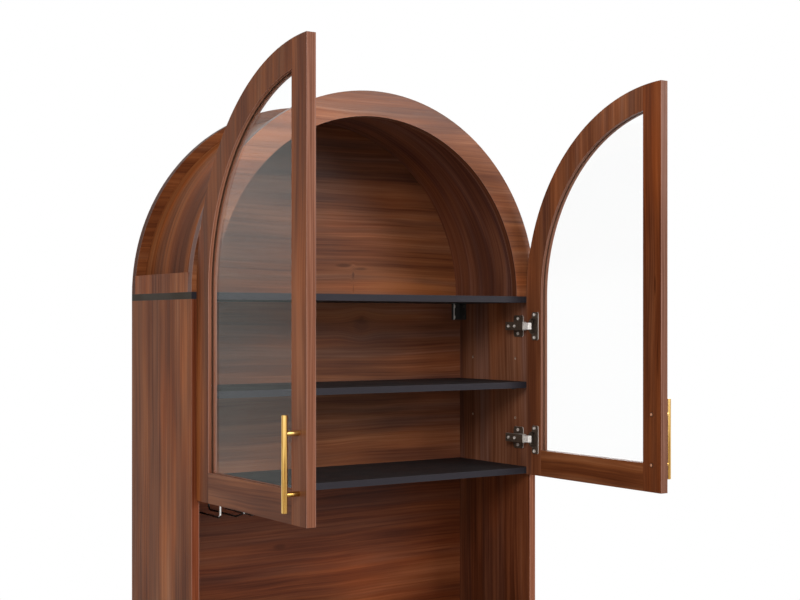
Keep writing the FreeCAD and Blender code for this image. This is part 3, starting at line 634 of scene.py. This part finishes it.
def brassMaterial(name):
    material, tree, shader = newMaterial(name, Metallic=1.0)
    _, xyz, facing = objectPlace(tree)
    turn = sums(tree, "ARCTAN2", facing["y"], facing["x"])

    def streaks(pitch, seed, detail):
        return stretchedNoise(tree, xyz["z"], pitch[0], turn, pitch[1], seed, detail)

    reflectionBand = streaks(brass["streakPitch"], brass["reflectionSeed"], detail=3.0)
    scratch = streaks(brass["scratchPitch"], brass["scratchSeed"], detail=1.0)
    share = sums(tree, "MULTIPLY_ADD", centred(tree, scratch), brass["scratchShare"], reflectionBand)
    colours = [brass[name] for name in ("dark", "mid", "light")]
    colour = colourRamp(tree, share, list(zip(brass["stops"], colours)))
    plug(tree, shader.inputs["Base Color"], colour)
    plug(tree, shader.inputs["Roughness"], spread(tree, share, *gloss, *brass["rough"]))
    plug(tree, shader.inputs["Normal"], bump(tree, scratch, scratches["depth"]))
    finish(name, material)


for name in ("handle_bar_right", "handle_posts_right",
             "handle_bar_left", "handle_posts_left"):
    brassMaterial(name)
print("brass on the handles")


# Beech dowels, inside the boards
dowelWood = {"light": (0.60, 0.42, 0.25), "dark": (0.42, 0.27, 0.15), "rough": 0.6,
             "pitch": (60.0, 900.0), "seed": 2.0}


def dowelMaterial():
    material, tree, shader = newMaterial("dowelWood", Roughness=dowelWood["rough"])
    _, xyz, _ = objectPlace(tree)
    along, across = dowelWood["pitch"]
    fleck = stretchedNoise(tree, xyz["x"], along, sums(tree, "ADD", xyz["y"], xyz["z"]), across,
                           dowelWood["seed"])
    colour = mixColour(tree, fleck, dowelWood["dark"], dowelWood["light"])
    plug(tree, shader.inputs["Base Color"], colour)
    finish("board_dowels", material)


dowelMaterial()


# Glass: clear, with a soft reflection that grows towards a flat view, and a faint film of dust
glass = {
    "clear": (0.998, 1.0, 0.9995),
    "shine": (0.86, 0.97, 0.95),
    "shineRough": 0.0,
    "leastShine": 0.018,
    "grazingShine": 0.45,
    "grazingPower": 5.0,
    "dust": 0.003,
    "dustPitch": 3.0,
    "dustRange": (0.35, 0.75),
    "haze": 0.050,                        # the upper part of each pane is a little hazier
    "hazeFrom": 1.38,
    "hazeTo": 1.50,
}


def glassMaterial(name):
    material, tree = emptyMaterial(name)
    place, xyz, _ = objectPlace(tree)
    flat = addNode(tree, "ShaderNodeLayerWeight", {"Blend": 0.5}).outputs["Facing"]
    grazing = sums(tree, "POWER", flat, glass["grazingPower"])
    grazing = sums(tree, "MULTIPLY", grazing, glass["grazingShine"])
    film = plainNoise(tree, place, glass["dustPitch"], detail=2.0)
    dust = spread(tree, film, *glass["dustRange"], 0.0, glass["dust"])
    haze = spread(tree, xyz["z"], glass["hazeFrom"], glass["hazeTo"],
                  glass["leastShine"], glass["haze"])
    haze = sums(tree, "MULTIPLY", haze, flat)
    share = sums(tree, "ADD", sums(tree, "ADD", grazing, haze), dust)
    clear = addNode(tree, "ShaderNodeBsdfTransparent", {"Color": glass["clear"]}).outputs[0]
    shine = addNode(tree, "ShaderNodeBsdfGlossy", {
        "Color": glass["shine"], "Roughness": glass["shineRough"]}).outputs[0]
    mixed = addNode(tree, "ShaderNodeMixShader", {"Fac": share, 1: clear, 2: shine}).outputs[0]
    addNode(tree, "ShaderNodeOutputMaterial", {"Surface": mixed})
    finish(name, material)


for name in ("door_glass_right", "door_glass_left"):
    glassMaterial(name)
print("glass in both doors")


# Floor and surroundings
studio = {
    "ambient": 0.31,
    "white": (1.0, 1.0, 1.0),
    "floorColour": (0.80, 0.80, 0.80),
    "fibreColour": (0.84, 0.84, 0.84),
    "fibrePitch": 240.0,
    "fibreDepth": 0.0002,
    "floorRough": 0.9,
    "floorSize": 4.8,
    "floorCuts": 3,
    "whiteFrom": 0.7,                     # metres from the middle where the floor's white starts
    "whiteTo": 2.3,
    "whiteLeast": 0.35,
}


def makeFloor():
    bpy.ops.mesh.primitive_plane_add(size=studio["floorSize"], location=(0.0, 0.0, 0.0))
    floor = bpy.context.object
    floor.name = "floor"
    bpy.ops.object.mode_set(mode="EDIT")
    bpy.ops.mesh.subdivide(number_cuts=studio["floorCuts"])
    bpy.ops.object.mode_set(mode="OBJECT")
    material, tree, shader = newMaterial("floorPaper", Roughness=studio["floorRough"])
    place, _, _ = objectPlace(tree)
    fibres = plainNoise(tree, place, studio["fibrePitch"], detail=3.0)
    share = spread(tree, fibres, *gloss)
    colour = mixColour(tree, share, studio["floorColour"], studio["fibreColour"])
    plug(tree, shader.inputs["Base Color"], colour)
    plug(tree, shader.inputs["Normal"], bump(tree, fibres, studio["fibreDepth"]))
    rays = addNode(tree, "ShaderNodeLightPath").outputs
    white = addNode(tree, "ShaderNodeEmission", {
        "Color": studio["white"], "Strength": 1.0}).outputs[0]
    fromMiddle = addNode(tree, "ShaderNodeVectorMath", {0: place}, operation="LENGTH")
    fade = spread(tree, fromMiddle.outputs["Value"],
                  studio["whiteFrom"], studio["whiteTo"], studio["whiteLeast"], 1.0)
    seen = sums(tree, "MULTIPLY", rays["Is Camera Ray"], fade)
    mixed = addNode(tree, "ShaderNodeMixShader", {
        "Fac": seen, 1: shader.outputs["BSDF"], 2: white}).outputs[0]
    output = next(node for node in tree.nodes if node.type == "OUTPUT_MATERIAL")
    tree.links.new(mixed, output.inputs["Surface"])
    floor.data.materials.append(material)


def makeWorld():
    world = bpy.data.worlds.new("studioWorld")
    bpy.context.scene.world = world
    world.use_nodes = True
    tree = world.node_tree
    tree.nodes.clear()
    rays = addNode(tree, "ShaderNodeLightPath").outputs
    seen = sums(tree, "MAXIMUM", rays["Is Camera Ray"], rays["Is Glossy Ray"])
    seen = sums(tree, "MAXIMUM", seen, rays["Is Transmission Ray"])
    soft = addNode(tree, "ShaderNodeBackground", {
        "Color": studio["white"], "Strength": studio["ambient"]}).outputs[0]
    white = addNode(tree, "ShaderNodeBackground", {
        "Color": studio["white"], "Strength": 1.0}).outputs[0]
    mixed = addNode(tree, "ShaderNodeMixShader", {"Fac": seen, 1: soft, 2: white}).outputs[0]
    addNode(tree, "ShaderNodeOutputWorld", {"Surface": mixed})


# Soft boxes: place, aim, width, height, watts
lamps = {
    "frontLeftLamp": ((-2.3, -2.9, 3.05), (0.0, 0.1, 1.3), 1.3, 1.3, 70.0),
    "leftLamp": ((-3.6, -0.6, 2.6), (-0.3, 0.0, 1.2), 2.0, 2.0, 29.0),
    "lowLeftLamp": ((-3.0, -3.6, 1.9), (0.0, 0.0, 1.2), 1.8, 1.8, 26.0),
    "lowFrontLamp": ((0.3, -3.9, 1.9), (0.0, 0.0, 1.2), 2.6, 1.8, 9.0),
    "frontRightLamp": ((2.3, -3.4, 2.7), (0.0, 0.0, 1.5), 2.4, 1.6, 115.0),
    "rightLamp": ((3.8, 1.4, 2.2), (0.3, 0.0, 1.0), 2.2, 2.4, 30.0),
    "backLamp": ((3.0, 3.2, 1.7), (0.0, 0.0, 1.0), 2.2, 2.2, 50.0),
}


def addLamp(name, place, aim, width, height, watts):
    light = bpy.data.lights.new(name, "AREA")
    light.shape = "RECTANGLE"
    light.size, light.size_y = width, height
    light.energy = watts
    lamp = bpy.data.objects.new(name, light)
    bpy.context.scene.collection.objects.link(lamp)
    lamp.location = place
    lamp.rotation_euler = (Vector(aim) - Vector(place)).to_track_quat("-Z", "Y").to_euler()
    lamp.visible_camera = False


makeFloor()
makeWorld()
for name, settings in lamps.items():
    addLamp(name, *settings)
print("studio ready")


# Camera: where the photograph was taken from
cameraView = {
    "place": (-1.44291, -2.26189, 1.34465),
    "turn": 33.80,                        # degrees to the right of straight back, level
    "lens": 60.75,
    "sensor": 36.0,
    "shiftUp": 0.0281,
}


def makeCamera():
    lens = bpy.data.cameras.new("photoCamera")
    lens.sensor_width = cameraView["sensor"]
    lens.lens = cameraView["lens"]
    lens.shift_y = cameraView["shiftUp"]
    seat = bpy.data.objects.new("photoCamera", lens)
    bpy.context.scene.collection.objects.link(seat)
    seat.location = cameraView["place"]
    seat.rotation_euler = (math.radians(90.0), 0.0, math.radians(-cameraView["turn"]))
    bpy.context.scene.camera = seat


makeCamera()
bpy.context.scene.view_settings.view_transform = "Standard"
print("camera ready")
